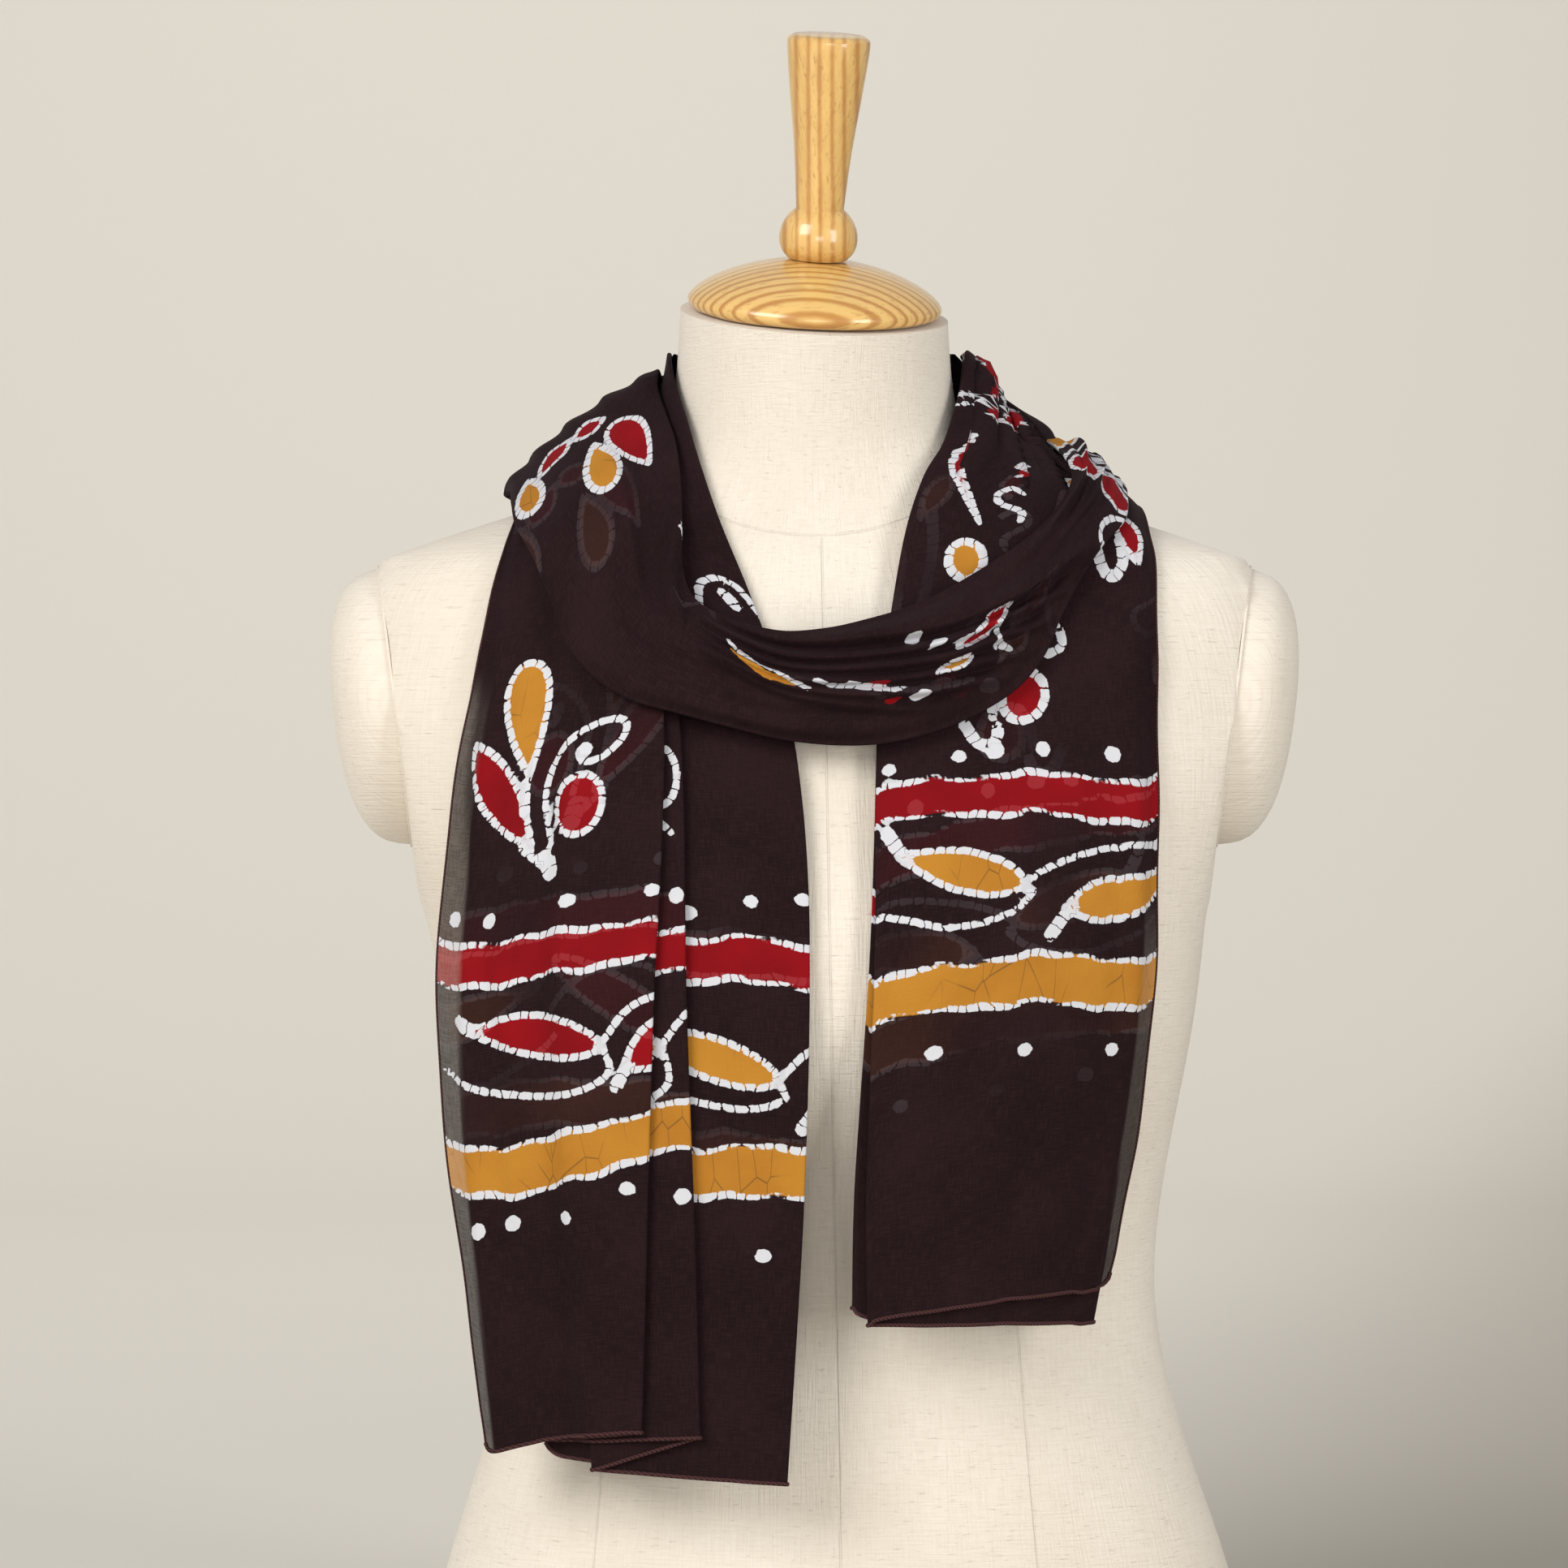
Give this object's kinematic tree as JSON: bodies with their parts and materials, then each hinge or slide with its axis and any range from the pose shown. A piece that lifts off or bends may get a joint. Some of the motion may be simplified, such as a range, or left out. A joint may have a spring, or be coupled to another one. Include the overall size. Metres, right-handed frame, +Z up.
{
  "type": "stole on a dress form",
  "caption": "Long patterned cotton stole, folded lengthwise and wound once round the neck of a limbless canvas dress form with arm pads and a wooden neck cap and handle",
  "frame": {"origin": "Centre of the dress form's flat bottom face, below the middle of its waist. The form stands on this face.", "axes": "+Z up along the form, -Y the front of the form, where both tails of the stole hang, +X the side with the shorter tail (to the right as seen from the front)."},
  "size_m": [0.4132, 0.2573, 0.7014],
  "materials": {
    "canvas": "cream cotton canvas over a stuffed form",
    "wood": "clear lacquered, honey coloured",
    "batik_cotton": "thin dark aubergine cotton voile with wax-resist motifs in white, gold and red"
  },
  "bodies": {
    "root": {"form_torso": "canvas", "form_arm_pad_left": "canvas", "form_arm_pad_right": "canvas", "neck_cap": "wood", "handle": "wood", "tail_left": "batik_cotton", "tail_right": "batik_cotton", "front_loop": "batik_cotton", "neck_back_over": "batik_cotton", "neck_back_under": "batik_cotton"}
  },
  "joints": []
}
